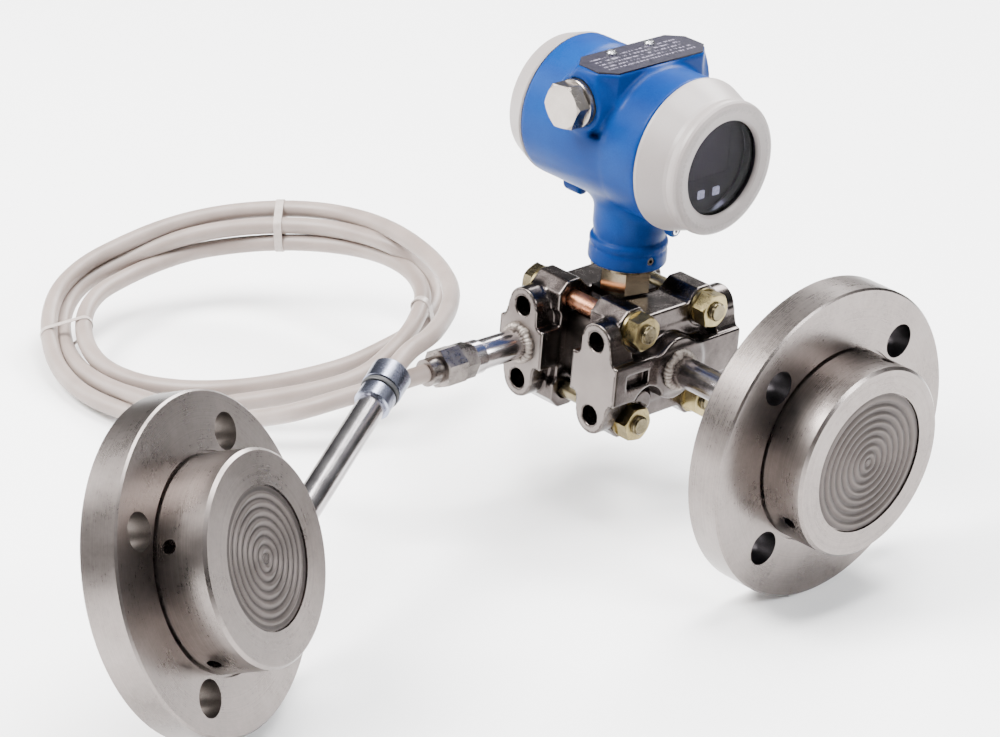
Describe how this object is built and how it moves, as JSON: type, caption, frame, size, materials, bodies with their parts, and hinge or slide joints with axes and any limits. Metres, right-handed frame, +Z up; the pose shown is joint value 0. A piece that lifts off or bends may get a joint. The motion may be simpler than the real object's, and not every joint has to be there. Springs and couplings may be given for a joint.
{
  "type": "differential pressure transmitter",
  "caption": "Differential pressure transmitter: head with window display on a clamped sensor block, one flanged diaphragm seal fixed on a tube and one remote on a coiled capillary.",
  "frame": {"origin": "centre of the low-side seal flange's bolt circle, on the flange's front face", "axes": "+X out of the low-side seal towards the process, along the clamp bolts; +Z up along the head's neck; -Y towards the near connection faces and the high-side stub tube"},
  "size_m": [0.511, 0.4908, 0.2426],
  "materials": {
    "seal_steel": "turned stainless steel",
    "diaphragm_steel": "thin rolled stainless foil, matt",
    "screw_steel": "plain stainless steel",
    "block_steel": "dark satin stainless steel",
    "neck_steel": "turned stainless steel",
    "tube_steel": "drawn stainless tube",
    "gland_steel": "satin steel",
    "black_rubber": "black rubber",
    "seal_ring": "white fluoropolymer",
    "bolt_zinc": "yellow-passivated zinc",
    "jacket": "cream plastic jacket",
    "tie_plastic": "translucent white plastic",
    "blue_paint": "medium blue powder coat on die-cast aluminium",
    "grey_paint": "warm light grey powder coat",
    "nameplate_dark": "dark slate printed metal",
    "plug_steel": "nickel-plated steel",
    "module_plastic": "black potted module",
    "screen": "dark liquid-crystal window",
    "button_grey": "pale grey key",
    "terminal_plastic": "green terminal block",
    "window": "dark glass",
    "ring_aluminium": "plain aluminium"
  },
  "bodies": {
    "process_side": {"capillary_coil": "jacket", "capillary_end": "jacket", "capillary_lead_a": "jacket", "capillary_lead_b": "jacket", "clamp_bolts": "bolt_zinc", "clamp_nuts": "bolt_zinc", "clamp_washers": "bolt_zinc", "coil_ties": "tie_plastic", "flange_seal_rings": "seal_ring", "gland_nut_inner": "gland_steel", "gland_nut_outer": "gland_steel", "gland_sleeve": "gland_steel", "high_collar": "tube_steel", "high_flange": "block_steel", "high_tube": "tube_steel", "isolating_diaphragms": "diaphragm_steel", "low_diaphragm": "diaphragm_steel", "low_fill_plugs": "screw_steel", "low_flange": "block_steel", "low_seal_body": "seal_steel", "low_seal_flange": "seal_steel", "low_tube": "tube_steel", "remote_diaphragm": "diaphragm_steel", "remote_ferrule": "gland_steel", "remote_ferrule_ring": "black_rubber", "remote_fill_plugs": "screw_steel", "remote_seal_body": "seal_steel", "remote_seal_flange": "seal_steel", "remote_tube": "tube_steel", "sensor_capsule": "block_steel", "sensor_neck": "neck_steel"},
    "head": {"head_housing": "blue_paint", "nameplate": "nameplate_dark", "nameplate_screws": "screw_steel", "entry_plug": "plug_steel", "entry_plug_gasket": "black_rubber", "electronics_module": "module_plastic", "display_module": "module_plastic", "display_screen": "screen", "terminal_block": "terminal_plastic", "terminal_screws": "screw_steel", "cover_lock_screws": "screw_steel", "neck_set_screw": "screw_steel"},
    "display_cover": {"display_cover": "grey_paint", "window_glass": "window", "window_gasket": "black_rubber", "window_retaining_ring": "ring_aluminium", "display_cover_oring": "black_rubber"},
    "rear_cover": {"rear_cover": "grey_paint", "rear_cover_oring": "black_rubber"},
    "button_left": {"button_left": "button_grey"},
    "button_right": {"button_right": "button_grey"}
  },
  "joints": [
    {"name": "head_swivel", "type": "hinge", "parent": "process_side", "child": "head", "pos_m": [-0.1497, 0, 0.052], "axis": [0, 0, 1], "range_deg": [-175, 175]},
    {"name": "display_cover_turn", "type": "hinge", "parent": "head", "child": "display_cover", "pos_m": [-0.1497, 0, 0.1167], "axis": [1, 0, 0], "continuous": true},
    {"name": "rear_cover_turn", "type": "hinge", "parent": "head", "child": "rear_cover", "pos_m": [-0.1497, 0, 0.1167], "axis": [1, 0, 0], "continuous": true},
    {"name": "button_left_press", "type": "slide", "parent": "head", "child": "button_left", "axis": [-1, 0, 0], "range_m": [0, 0.0006], "stiffness_N_per_m": 800},
    {"name": "button_right_press", "type": "slide", "parent": "head", "child": "button_right", "axis": [-1, 0, 0], "range_m": [0, 0.0006], "stiffness_N_per_m": 800}
  ]
}
